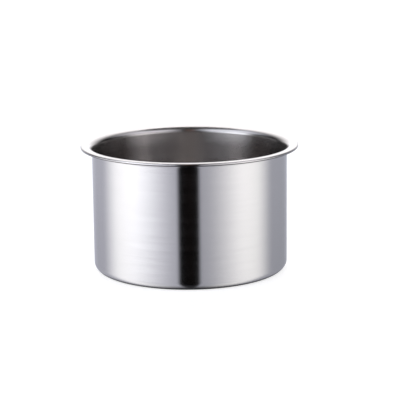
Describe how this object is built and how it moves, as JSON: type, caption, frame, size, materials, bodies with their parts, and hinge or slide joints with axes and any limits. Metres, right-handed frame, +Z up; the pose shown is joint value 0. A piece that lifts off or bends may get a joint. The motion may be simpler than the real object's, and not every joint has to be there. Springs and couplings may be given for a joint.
{
  "type": "soup kettle inset pot",
  "caption": "Round straight-sided open steel pot with a wide flat flange and rolled edge, which hangs in a soup kettle, bain-marie or counter cut-out and holds the soup.",
  "frame": {"origin": "centre of the flat base, on the surface it stands on", "axes": "+Z up the pot's axis, through the middle of its open mouth; +X and +Y are free, because the pot is round"},
  "size_m": [0.268, 0.268, 0.156],
  "materials": {
    "pot_steel": "stainless steel, satin, fine brushing round the pot"
  },
  "bodies": {
    "root": {"inset_pot": "pot_steel"}
  },
  "joints": []
}
